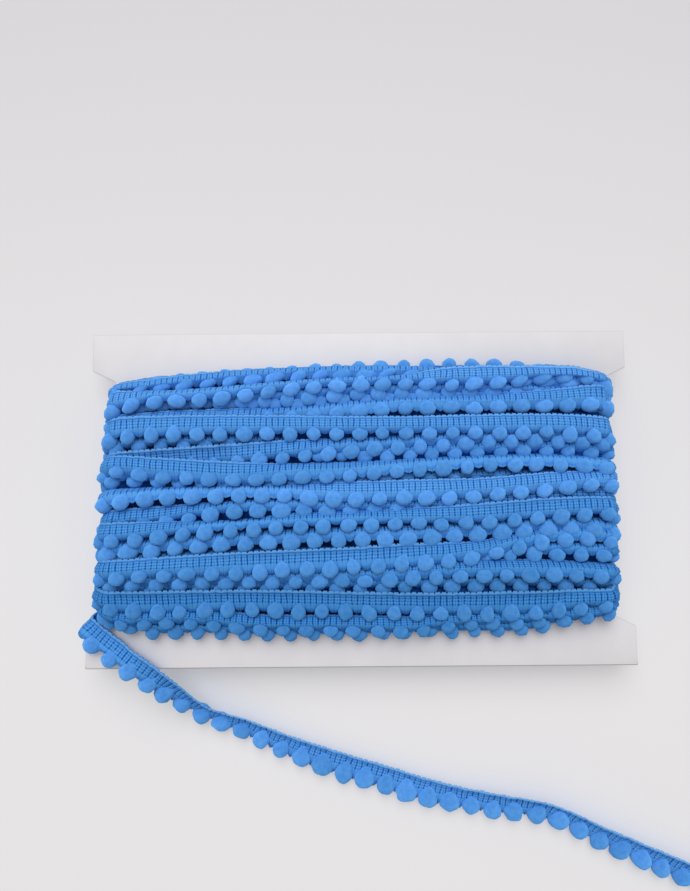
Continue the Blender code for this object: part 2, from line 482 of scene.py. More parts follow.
class TrimRun:
    """A length of trim, followed by its line of pompom centres and by its tape's upper edge."""

    def __init__(
        self, pompoms: Sequence[Vector], edges: Sequence[Vector], closed: bool, covers: Sequence[float] = ()
    ) -> None:
        """Measure the run.

        Args:
            pompoms: Points of the line through the pompoms' centres. A closed run repeats its first point.
            edges: The point of the tape's upper edge at each of them.
            closed: Whether the run comes back to its start.
            covers: How far the net rides up over the pompoms at each of them, in mm, or nothing for 0.
        """
        self.pompoms = pompoms
        self.edges = edges
        self.closed = closed
        self.covers = covers or [0.0] * len(pompoms)
        steps = ((end - start).length for start, end in zip(pompoms, pompoms[1:]))
        self.travelled = list(accumulate(steps, initial=0.0))
        self.length = self.travelled[-1]
        count = len(pompoms) - 1
        self.tangents = []
        for i in range(count + 1):
            before = (i - 1) % count if closed else max(i - 1, 0)
            after = (i + 1) % count if closed else min(i + 1, count)
            self.tangents.append((pompoms[after] - pompoms[before]).normalized())

    def at(self, distance: float) -> Station:
        """Find a place on the run.

        Args:
            distance: How far along, in metres.

        Returns:
            The station there.
        """
        if self.closed:
            distance %= self.length
        i = min(max(bisect.bisect_right(self.travelled, distance) - 1, 0), len(self.travelled) - 2)
        span = self.travelled[i + 1] - self.travelled[i]
        part = (distance - self.travelled[i]) / span
        pompom = self.pompoms[i].lerp(self.pompoms[i + 1], part)
        edge = self.edges[i].lerp(self.edges[i + 1], part)
        along = self.tangents[i].lerp(self.tangents[i + 1], part).normalized()
        cover = self.covers[i] + (self.covers[i + 1] - self.covers[i]) * part
        return Station(pompom, edge, along, along.cross(edge - pompom).normalized(), cover)


def smooth_value(stops: Sequence[tuple[float, Vector]], place: float) -> Vector:
    """Read a smooth curve through stops that are unevenly spaced.

    Args:
        stops: Place and value of each stop, in order, with one more at each end than the places read.
        place: Where to read it, between the second stop and the last but one.

    Returns:
        The value there.
    """
    places = [stop[0] for stop in stops]
    i = min(max(bisect.bisect_right(places, place) - 1, 1), len(stops) - 3)
    (x0, v0), (x1, v1), (x2, v2), (x3, v3) = stops[i - 1 : i + 3]
    span = x2 - x1
    part = (place - x1) / span
    rise = (v2 - v0) * (span / (x2 - x0))
    fall = (v3 - v1) * (span / (x3 - x1))
    near = 1 + part * part * (2 * part - 3)
    return v1 * near + v2 * (1 - near) + rise * (part * (1 - part) ** 2) - fall * (part * part * (1 - part))


# ---- the trim


@dataclass(frozen=True)
class Thread:
    """One line along the tape, in mm: how far it lies below the upper edge, and how far it stands out."""

    down: float
    on_rib: float
    in_gap: float
    hang: float = 0.0  # share of the lobes' depth by which it hangs lower between two pompoms
    picot: float = 0.0  # how far each rib pushes it up


@dataclass(frozen=True)
class PompomTrim:
    """The trim's own sizes, and how a length of it is knitted and set with pompoms."""

    pompom_pitch: float = 8.3 * MM
    ribs_a_pompom: int = 4
    pompom_drop: float = 7.0  # mm from the upper edge to a pompom's centre
    pompom_radius: float = 2.85 * MM
    lobe: float = 2.2  # mm by which the net hangs lower between two pompoms
    gather: float = 0.5 * MM  # by which the net's sides are drawn in towards its lowest point
    lobe_power: float = 0.5  # below 1 for a broad lobe
    level: float = 0.4  # share of the lobes lost for each mm by which the net covers the pompoms
    hollow: float = 0.4  # the smaller, the sooner the net comes forward beside a pompom
    paler: float = 0.04  # painted light: tone added for each mm by which the net stands behind the pompoms
    uneven: float = 2.4 * MM  # size of the knit's uneven places
    stray: tuple[float, float, float] = (0.28, 0.22, 0.30)  # mm by which they lie off along, across and out
    threads: tuple[Thread, ...] = (
        Thread(0.00, 0.10, 0.00, picot=0.70),
        Thread(0.20, 0.56, 0.22, picot=0.50),
        Thread(0.58, 0.52, 0.16, picot=0.15),
        Thread(0.86, 0.34, -0.12),
        Thread(2.20, 0.44, -0.18),
        Thread(3.50, 0.44, -0.18),
        Thread(3.95, 0.56, 0.26),
        Thread(4.35, 0.36, -0.02, hang=0.15),
        Thread(4.80, 0.36, 0.06, hang=0.6),
        Thread(5.20, 0.12, -0.08, hang=1.0),
        Thread(4.90, -0.26, -0.22, hang=0.9),
        Thread(2.60, -0.30, -0.24),
        Thread(0.30, -0.28, -0.24),
    )
    rib_shape: tuple[tuple[float, float], ...] = ((0.0, 0.0), (0.26, 1.0), (0.5, 0.72), (0.74, 1.0))

    def pompom_places(self, run: TrimRun, first: float) -> list[float]:
        """Space the pompoms evenly.

        Args:
            run: The length of trim.
            first: How far along it one of them is.

        Returns:
            How far along each one is.
        """
        count = round(run.length / self.pompom_pitch)
        return [(first + run.length * i / count) % run.length for i in range(count)]

    def knit(self, work: BMesh, run: TrimRun, first: float, shade: float = 1.0) -> None:
        """Knit the tape along a run, as a thin closed form with its ribs, lobes and picot edge.

        Args:
            work: The mesh that it is added to.
            run: Where the tape goes.
            first: How far along one of the pompoms is. A gap between two ribs is above it.
            shade: Its tone: painted light and shade for the whole run.
        """
        knit_map = work.loops.layers.uv.get("knit") or work.loops.layers.uv.new("knit")
        tone = work.verts.layers.float.get("tone") or work.verts.layers.float.new("tone")
        if run.closed:
            ribs = self.ribs_a_pompom * round(run.length / self.pompom_pitch)
            step = run.length / ribs
            start = first
        else:
            step = self.pompom_pitch / self.ribs_a_pompom
            start = first % step
            ribs = int((run.length - start) / step)
        columns = [(rib + phase, lift) for rib in range(ribs) for phase, lift in self.rib_shape]
        columns.append((float(ribs), 0.0))
        rows = len(self.threads)
        grid = bmesh.ops.create_grid(work, x_segments=len(columns) - 1, y_segments=rows, size=1.0)
        width = len(columns)
        order = {vert: divmod(i, width) for i, vert in enumerate(grid["verts"])}
        for face in {face for vert in grid["verts"] for face in vert.link_faces}:
            for loop in face.loops:
                row, column = order[loop.vert]
                loop[knit_map].uv = (columns[column][0], self.threads[row % rows].down)
        stations = [run.at(start + place * step) for place, _ in columns]
        for vert, (row, column) in order.items():
            place, lift = columns[column]
            swing = 2 * math.pi * (start + place * step - first) / (step * self.ribs_a_pompom)
            vert.co = self.tape_point(self.threads[row % rows], stations[column], lift, swing)
            # painted light: the net is paler where it stands behind the pompoms
            vert[tone] = shade * (1 + self.paler * max(-stations[column].cover, 0.0))
        bmesh.ops.remove_doubles(work, verts=grid["verts"], dist=1e-7)

    def tape_point(self, thread: Thread, station: Station, lift: float, swing: float) -> Vector:
        """Place one point of the tape.

        Args:
            thread: The line along the tape that it is on.
            station: Its place along the run.
            lift: 1 on top of a rib and 0 in a gap.
            swing: Turn from one pompom to the next, in radians.

        Returns:
            The point, in metres.
        """
        between = (1 - math.cos(swing)) / 2
        over, behind = max(station.cover, 0.0), min(station.cover, 0.0)
        hang = thread.hang * self.lobe * (1 - self.level * over) * between**self.lobe_power
        down = thread.down + hang - thread.picot * lift
        share = down / self.pompom_drop
        across = station.pompom - station.edge
        chord = across.length / MM
        slack = math.sqrt(max(0.0, 3 / 8 * chord * (self.pompom_drop - chord)))  # rise of a shallow arc
        bow = slack * 4 * share * max(0.0, 1 - share) + share * (over + behind * (1 - between**self.hollow))
        pull = noise.noise_vector((station.edge + across * share) * (1 / self.uneven))
        astray_along, astray_across, astray_out = self.stray
        out = thread.in_gap + (thread.on_rib - thread.in_gap) * lift + bow + astray_out * pull.z
        shift = self.gather * share**3 * math.sin(swing) + astray_along * MM * pull.x
        rise = across.normalized() * (astray_across * MM * pull.y)
        return station.edge + across * share + rise + station.outward * (out * MM) + station.along * shift


class PompomShape:
    """One felted ball, and copies of it along a run."""

    lumpy = 0.15  # how far its felt bulges and dents, as a share of its radius
    lumps = 1.5  # places where it does so, over one radius
    waist = 0.36  # how much slimmer it is at the neck, where the net holds it
    neck_pull = 0.26  # how much longer it is drawn there
    depth = 0.97  # out of the tape's face, against its width
    astray = 0.2 * MM  # how far its centre wanders from the line

    def __init__(self, trim: PompomTrim, cuts: int) -> None:
        """Make the round template.

        Args:
            trim: The trim's sizes.
            cuts: Cuts across each side of the cube that it starts from.
        """
        self.trim = trim
        work = bmesh.new()
        bmesh.ops.create_cube(work, size=2.0)
        bmesh.ops.subdivide_edges(work, edges=work.edges[:], cuts=cuts, use_grid_fill=True)
        for vert in work.verts:
            vert.co = Vector(math.tan(c * math.pi / 4) for c in vert.co).normalized()
        self.template = bpy.data.meshes.new("pompom_template")
        work.to_mesh(self.template)
        work.free()

    def discard(self) -> None:
        """Remove the template."""
        bpy.data.meshes.remove(self.template)

    def place(
        self, work: BMesh, station: Station, rng: random.Random, squash: float, scale: float, shade: float
    ) -> None:
        """Set one pompom at the lower edge of the tape.

        Args:
            work: The mesh that it is added to.
            station: Where it hangs.
            rng: Source of its own size, lean and tone.
            squash: How much its row is pressed together by the rows beside it.
            scale: Its row's size against the trim's own size.
            shade: Its row's tone: painted light and shade for the whole row.
        """
        tone = work.verts.layers.float.get("tone") or work.verts.layers.float.new("tone")
        start = len(work.verts)
        work.from_mesh(self.template)
        work.verts.ensure_lookup_table()
        up = (station.edge - station.pompom).normalized()
        lean = rng.gauss(1.1 * squash, 0.20)
        side = station.along * math.cos(lean) + up * math.sin(lean)
        up = up * math.cos(lean) - station.along * math.sin(lean)
        size = self.trim.pompom_radius * scale * rng.uniform(0.94, 1.06)
        wide = rng.uniform(0.90, 1.10) + squash * rng.uniform(0.2, 0.6)
        tall = rng.uniform(0.90, 1.08) - squash * rng.uniform(0.4, 1.0)
        centre = station.pompom + station.along * rng.gauss(0.0, self.astray)
        centre += up * rng.gauss(0.0, self.astray)
        seed = Vector([rng.uniform(0, 99) for _ in range(3)])
        shade *= rng.uniform(0.92, 1.04)
        for vert in work.verts[start:]:
            ball = vert.co.copy()
            neck = max(0.0, ball.y)
            bulge = 1 + self.lumpy * noise.noise(ball * self.lumps + seed)
            slim = 1 - self.waist * neck * neck
            long = tall * (1 + self.neck_pull * neck)
            local = Vector((ball.x * wide * slim, ball.y * long, ball.z * slim * self.depth)) * bulge
            vert.co = centre + (side * local.x + up * local.y + station.outward * local.z) * size
            vert.co.z = max(vert.co.z, RESTING)
            vert[tone] = shade


# ---- the winding


class Layer(Enum):
    """Where a turn lies on the back of the winding."""

    OUTER = 8.7
    INNER = 5.8


Stop = tuple[float, float, float, float, float]


@dataclass(frozen=True)
class Turn:
    """One turn of trim round the neck.

    Each stop on its way across the front gives five values in mm: X on the face, and on round the side to
    102 at its middle; Y of the pompoms' line; how far the tape's upper edge lies above that line; height of
    the pompoms' line above the board; and height of the tape's upper edge.
    """

    layer: Layer
    back: float  # Y in the middle of the back, in mm
    pompom: float  # X of one of its pompoms on the front, in mm
    front: tuple[Stop, ...]
    squash: float = 0.05  # how much its pompoms are pressed flat
    size: float = 1.0  # of its pompoms, against the trim's own size
    tone: float = 1.0  # painted light and shade of the whole turn, darker towards the bottom of the winding
    lobe: float = 2.2  # mm by which its net hangs lower between two pompoms


@dataclass(frozen=True)
class WoundForm:
    """The form that the turns lie on, in mm: two flat faces and two round sides.

    A turn is followed by its loop place: 0 in the middle of the left side, then across the front to the
    middle of the right side, and back across the back.
    """

    neck_half: float = 91.5
    face_half: float = 87.0
    side_run: float = 15.0
    board_middle: float = 13.2
    board_half: float = 1.2
    outer_height: float = 9.4
    pompom_out: float = 2.6  # from a pompom's centre to the winding's outer side
    least_out: float = -1.6  # of a pompom's centre past the neck's edge, where the board presses into it
    left_reach: tuple[tuple[float, float], ...] = (
        (-44.0, 5.4), (-38.0, 6.8), (-18.0, 6.0), (5.0, 5.4), (20.0, 4.0), (34.0, 2.4), (39.0, 1.0),
        (43.0, -1.2),
    )
    right_reach: tuple[tuple[float, float], ...] = (
        (-44.0, 0.0), (-38.0, 1.4), (-30.0, 2.4), (-14.0, 3.3), (0.0, 3.5), (5.0, 3.0), (28.0, 2.4),
        (40.0, 2.4), (44.0, 1.0),
    )

    @property
    def side_middle(self) -> float:
        """Distance across from the middle of the face to the middle of a side."""
        return self.face_half + self.side_run

    @property
    def round_trip(self) -> float:
        """Loop places in one turn."""
        return 4 * self.side_middle

    def across(self, loop: float) -> float:
        """Turn a loop place into a distance across the face, below 0 on the left."""
        turned = loop % self.round_trip
        front = turned < 2 * self.side_middle
        return turned - self.side_middle if front else 3 * self.side_middle - turned

    def reach(self, across: float, y: float) -> float:
        """Find how far the winding stands out past the neck's edge.

        Args:
            across: Below 0 on the left side.
            y: Height on the card.

        Returns:
            The distance, in mm.
        """
        table = self.left_reach if across < 0 else self.right_reach
        places = [row[0] for row in table]
        i = min(max(bisect.bisect_right(places, y) - 1, 0), len(table) - 2)
        (low, near), (high, far) = table[i], table[i + 1]
        part = min(max((y - low) / (high - low), 0.0), 1.0)
        return near + (far - near) * part

    def point(self, loop: float, y: float, height: float) -> Vector:
        """Find a point on or above the board.

        Args:
            loop: Loop place.
            y: Height on the card.
            height: Out from the board.

        Returns:
            The point, in metres.
        """
        front = loop % self.round_trip < 2 * self.side_middle
        across = self.across(loop)
        bend = max(0.0, abs(across) - self.face_half) / self.side_run * math.pi / 2
        out = max(self.reach(across, y) - self.pompom_out, self.least_out)
        tip = self.neck_half + 0.5 + (out - 0.5) * height / self.outer_height
        flat = min(abs(across), self.face_half)
        x = math.copysign(flat + (tip - self.face_half) * math.sin(bend), across)
        z = (self.board_half + height) * math.cos(bend)
        return Vector((x, y, self.board_middle + (z if front else -z))) * MM


TURNS = (
    Turn(Layer.INNER, 44, -24.5, (
        (-102, 38.2, 2, 3.2, 0.8), (-72, 42.4, 0.5, 3.6, 0.8), (-58, 43.9, -3, 3.8, 0.8),
        (-40, 44.7, -4, 4, 0.8), (-25, 45.6, -4, 4, 0.8), (-5, 46.7, -4, 4.2, 0.8),
        (14, 47.4, -4, 4.2, 0.8), (43, 47.7, -4, 4.2, 0.8), (58, 46.7, -3.5, 4.2, 0.8),
        (72, 44.9, 1.5, 4, 0.8), (102, 41, 2, 3.5, 1),
    )),
    Turn(Layer.OUTER, 40.5, -22.4, (
        (-102, 34.8, 4.6, 6.6, 6), (-88, 38.4, 3.2, 5.8, 6.2), (-76, 40.1, 3.1, 5.4, 6.2),
        (-58, 41.8, 3.5, 5.2, 6), (-38, 43.2, 3.6, 5.4, 5.6), (-21, 44, 3.3, 5.8, 5.4),
        (-5, 44.1, 3.6, 6, 5.4), (15, 44.1, 3.5, 6, 5.4), (30, 43.4, 3.6, 5.6, 4.6),
        (50, 42, 3.6, 5.4, 3.8), (88, 39, 4.4, 5.4, 4.6), (102, 36.5, 5, 5.4, 4.8),
    ), 0.38, 1.14, 1.05, 5),
    Turn(Layer.OUTER, 33, -24.5, (
        (-102, 30, 6.2, 8.4, 8.8), (-88, 32, 6.2, 9.2, 9.2), (-75, 34.4, 4.2, 9.3, 7.8),
        (-61, 35, 4.1, 9.3, 7.6), (-46, 36.3, 3.8, 9.4, 7.6), (-37, 37.3, 3.5, 9.4, 7.8),
        (-21, 39, 2.9, 9.4, 8.4), (-5, 39.8, 2.8, 9.4, 8.6), (15, 40.4, 3, 9.4, 9),
        (30, 40.2, 5.4, 9.4, 10.2), (44, 40.2, 6, 9.5, 10.4), (56, 41.3, 4.8, 9, 10.2),
        (67, 42.8, 3.3, 8, 9.8), (78, 43, 2.8, 7.6, 9.4), (88, 40.4, 3.2, 7.8, 8.4),
        (102, 36.5, 4.8, 7.6, 7),
    ), 0.26, 1.06, 1.08),
    Turn(Layer.INNER, 36.5, -26.2, (
        (-102, 32.5, 4, 4.2, 3), (-71, 34.4, 4, 4.2, 3), (-46, 34.5, 4, 5.4, 3.6),
        (-25, 35.3, 4, 6.8, 4.5), (-5, 36.9, 4, 6.8, 4.5), (18, 37.1, 4, 6.8, 4.5),
        (43, 37.5, 4, 6, 4), (102, 34.5, 4, 5.5, 4),
    )),
    Turn(Layer.INNER, 29.5, -22.6, (
        (-102, 32, 4, 4.5, 3.5), (-60, 34.9, 4, 3.4, 3), (-40, 34.4, 4, 4.2, 3.4),
        (-25, 33.9, 4, 5, 3.6), (-5, 35.2, 4, 5, 3.6), (18, 35.8, 4, 5, 3.6),
        (60, 35, 4, 4.6, 3.5), (102, 31, 4, 4.5, 3.5),
    )),
    Turn(Layer.OUTER, 26, 0, (
        (-102, 25.5, 5.5, 6, 6), (-83, 26.4, 4, 6.3, 6.8), (-71, 27, 4.3, 6.3, 7),
        (-46, 27.6, 4.4, 6.4, 6.8), (-25, 28.5, 4.3, 6.6, 5), (-5, 30.1, 4.6, 7.2, 5),
        (18, 31.6, 4.6, 7.4, 5.2), (43, 31.8, 5, 7.6, 6.6), (66, 32.2, 5.5, 7.8, 8),
        (88, 32.2, 6.9, 7.8, 8.6), (102, 29.5, 6.4, 7.4, 7.8),
    ), 0.08, 1.08, lobe=4),
    Turn(Layer.OUTER, 18.5, -24.9, (
        (-102, 18.5, 6.6, 8.8, 9.2), (-88, 21.5, 6.7, 9.5, 10.2), (-71, 22.3, 6.7, 9.6, 10.2),
        (-46, 22.7, 6.4, 9.6, 10.2), (-5, 22.6, 5.8, 9.6, 10.3), (18, 22.6, 5.6, 9.6, 10.3),
        (43, 22.4, 6.2, 9.6, 10.2), (70, 22.2, 6.4, 9.6, 10.2), (88, 20.6, 6.7, 9.4, 10),
        (102, 18, 6.6, 8.8, 9.2),
    ), 0.04, 1),
    Turn(Layer.INNER, 21.5, -72, (
        (-102, 15.5, 4, 5, 4.5), (-80, 18.5, 4, 5.4, 4.6), (-60, 18.8, 4, 5.4, 4.6),
        (-35, 18.6, 4, 5, 4.4), (-14, 15.2, 4, 5.6, 4.8), (18, 14.8, 4, 5.8, 5),
        (43, 15.4, 4, 5.6, 4.8), (70, 15.8, 4, 5.2, 4.4), (102, 14.6, 4, 5, 4),
    ), tone=0.93),
    Turn(Layer.INNER, 13, -19.5, (
        (-102, 8, 6.2, 5.6, 7.4), (-88, 9.8, 6.4, 5.8, 8.2), (-71, 10.8, 6.5, 5.8, 8.4),
        (-46, 12.3, 6.5, 6.2, 8.6), (-25, 14.4, 5.8, 7.8, 8.4), (-5, 16.2, 4.8, 8, 6),
        (18, 17.5, 4.6, 7.6, 5.2), (43, 19.1, 4.4, 7, 5), (66, 19.5, 4.2, 7, 5),
        (88, 18, 4.6, 6.6, 5), (102, 15, 5, 6, 5),
    ), 0.05, 1.03, 0.97),
    Turn(Layer.INNER, 5.5, -81.5, (
        (-102, 4.5, 4, 5.6, 4.5), (-88, 6.2, 4, 6.2, 4.6), (-60, 5.6, 4, 6, 4.6),
        (-40, 4.5, 4, 5.6, 4.2), (20, 5.5, 4, 5.2, 4), (102, 5, 4, 5.2, 4),
    ), tone=0.9),
    Turn(Layer.OUTER, 8.5, -20.2, (
        (-102, 6.5, 6.4, 8.8, 8.8), (-88, 9.3, 5.6, 9.4, 10), (-71, 7.5, 6.5, 9.5, 10),
        (-46, 5.9, 6.5, 9.5, 9.8), (-25, 6.8, 5, 9.5, 7.6), (-5, 7.2, 5, 9.4, 7.2),
        (18, 9, 4.2, 9.4, 5.6), (43, 10.4, 3.6, 9.4, 4.8), (66, 10.8, 3.5, 9.4, 4.7),
        (88, 9.1, 3.9, 9.2, 5.2), (102, 6.5, 5, 8.6, 6.6),
    ), 0.12, 0.98, 0.95, 3.4),
    Turn(Layer.OUTER, 0.5, -26.6, (
        (-102, -3, 5.5, 8.6, 7.5), (-88, -1.7, 4.9, 9.4, 6.8), (-71, -0.2, 3.8, 9.4, 5.4),
        (-46, 0.5, 3.7, 9.4, 5), (-25, -0.1, 4.8, 9.4, 6.4), (-5, -1, 6.1, 9.5, 8.4),
        (18, -0.8, 6.4, 9.5, 9.2), (43, 0.2, 5.9, 9.5, 9.4), (66, 1.7, 6.1, 9.5, 9.4),
        (88, 3.5, 4.9, 9.3, 7.6), (102, 2, 5.5, 8.6, 7.6),
    ), 0.12, 1.08, 1.02, 3),
    Turn(Layer.INNER, -4.5, -36.6, (
        (-102, -11.5, 6, 5.8, 5.8), (-88, -10, 5.8, 6, 6.6), (-71, -8.6, 5.6, 6.4, 7),
        (-46, -5.1, 3.8, 8, 6), (-25, -4.8, 4.2, 8, 5.8), (-5, -5.2, 5.2, 6.4, 6.2),
        (18, -5, 5.8, 6, 6.6), (66, -4.2, 6.2, 6, 7), (88, -4, 6.2, 5.8, 6.6),
        (102, -5.5, 6, 5.6, 5.8),
    ), size=1.14, tone=0.92),
    Turn(Layer.OUTER, -8.5, -21.3, (
        (-102, -15.5, 6.5, 8.8, 9), (-88, -15.3, 6.5, 9.4, 9.8), (-71, -13.6, 5.2, 9.5, 8.8),
        (-46, -11.8, 3.4, 9.4, 4.8), (-25, -10.8, 4.8, 9.4, 6.6), (-5, -10.1, 4.8, 9.4, 6.8),
        (18, -9.8, 5.5, 9.4, 8.4), (43, -9.5, 6.6, 9.5, 10.2), (66, -8, 6.7, 9.5, 10.2),
        (88, -6.9, 6, 9.3, 9.8), (102, -9, 6.2, 8.6, 8.8),
    ), 0.05, 1.03, 0.91, 1.8),
    Turn(Layer.OUTER, -15.5, -24.5, (
        (-102, -21, 4.8, 7, 5), (-88, -19.9, 4.6, 7.8, 4.8), (-71, -18.6, 4.6, 7.8, 4.8),
        (-46, -16.9, 4.6, 7.8, 4.8), (-5, -15.5, 4.6, 8.4, 5.2), (18, -15.1, 4.6, 8.4, 5.2),
        (43, -13.9, 4.6, 7.8, 4.8), (66, -12.2, 4.6, 7.8, 4.8), (88, -13.2, 4.6, 7.6, 4.8),
        (102, -16, 4.8, 7, 5),
    ), 0.10, 1.10, 0.92, 2.4),
    Turn(Layer.OUTER, -23, -27.4, (
        (-102, -29, 6.3, 8.8, 9.2), (-88, -28.2, 6.3, 9.4, 10), (-71, -27.2, 6.2, 9.5, 10),
        (-46, -26.6, 6.9, 9.5, 10), (-5, -25.4, 7.1, 9.5, 9.6), (18, -24, 7, 9.5, 9.2),
        (40, -21.6, 5.3, 9.4, 8.2), (56, -18.3, 4.6, 8.8, 6.2), (70, -15.9, 4.4, 8.4, 5.6),
        (88, -16.5, 4.4, 8.2, 5.6), (102, -19, 5, 7.8, 6),
    ), 0.06, 1, 0.89, 2.8),
    Turn(Layer.INNER, -19, 69.6, (
        (-102, -24, 4, 5.2, 4), (-46, -23, 4, 5.4, 4), (0, -22, 4, 5.6, 4),
        (43, -21.2, 4, 6.6, 4.5), (66, -20.9, 4, 7.8, 5), (88, -21.7, 4, 7.8, 5),
        (102, -23, 4.5, 7, 5),
    ), tone=0.86),
    Turn(Layer.OUTER, -30.5, -23.1, (
        (-102, -32.5, 5, 6.6, 5), (-71, -30.7, 5, 7, 5.2), (-25, -30.1, 5, 7.2, 5.4),
        (-5, -29.9, 5, 7.4, 5.6), (18, -28.8, 5.2, 8.6, 6.6), (43, -28, 5.2, 9.2, 7.4),
        (66, -28.1, 5, 9.3, 7.2), (88, -29.1, 4.5, 9.2, 6.8), (102, -30.5, 5.5, 8.6, 7),
    ), tone=0.84, lobe=2.8),
    Turn(Layer.INNER, -34, 15.9, (
        (-102, -34, 4, 5, 4), (-46, -33, 4, 5.2, 4), (0, -32.6, 4, 5.8, 4.4),
        (18, -32.4, 4, 6.2, 4.6), (43, -32, 4, 6.2, 4.6), (70, -32.5, 4, 5.6, 4),
        (102, -34, 4, 5, 4),
    ), tone=0.82),
    Turn(Layer.OUTER, -38, -22, (
        (-102, -37.2, 5.4, 8, 9.2), (-88, -39.4, 6.5, 8.2, 10.4), (-71, -40.2, 7.4, 8.3, 10.4),
        (-46, -39.4, 6.8, 8.4, 10.4), (-22, -40, 7, 8.4, 10.4), (-5, -40.5, 7, 8.4, 10.4),
        (20, -41.2, 7.1, 8.4, 10.4), (45, -41.2, 7.2, 8.4, 10.4), (64, -41, 7.3, 8.4, 10.4),
        (78, -39.4, 6.2, 8.4, 10), (88, -38.4, 5.4, 8.2, 9.6), (102, -36.6, 5.8, 7.6, 8.8),
    ), 0.05, 1, 0.80),
    Turn(Layer.INNER, -42, -27.5, (
        (-102, -41.5, 5, 6, 5.4), (-84, -44.6, 5, 6.4, 6), (-70, -43.9, 5.2, 6.6, 6.2),
        (-53, -44.7, 5.2, 6.6, 6.4), (-36, -46.3, 5, 6.6, 6.4), (-2, -47, 5, 6.6, 6.2),
        (18, -47.5, 5, 6.6, 6.2), (30, -46, 4.6, 6.4, 5.8), (62, -44.5, 4.6, 6.2, 5.6),
        (82, -43.2, 4.6, 6.2, 5.6), (102, -40.8, 5, 6, 5.4),
    ), 0.05, 0.96, 0.78),
    Turn(Layer.OUTER, -45, -25.3, (
        (-102, -43.5, 3.5, 4, 2.8), (-74, -47.7, 3.5, 4, 2.6), (-60, -47.9, 3.5, 4, 2.4),
        (-47, -48.3, 3.5, 4, 2.4), (-31, -48.8, 3.5, 4, 2.4), (-11, -48.8, 3.5, 4, 2.4),
        (8, -48.6, 3.5, 4, 2.4), (28, -48, 3.5, 4, 2.4), (49, -48, 3.5, 4, 2.4),
        (60, -47.6, 3.5, 4, 2.4), (71, -45, 3.5, 4, 2.4), (84, -43.2, 3.5, 4, 2.6),
        (102, -41, 3.5, 4, 2.8),
    ), 0.05, 0.94, 0.76),
)


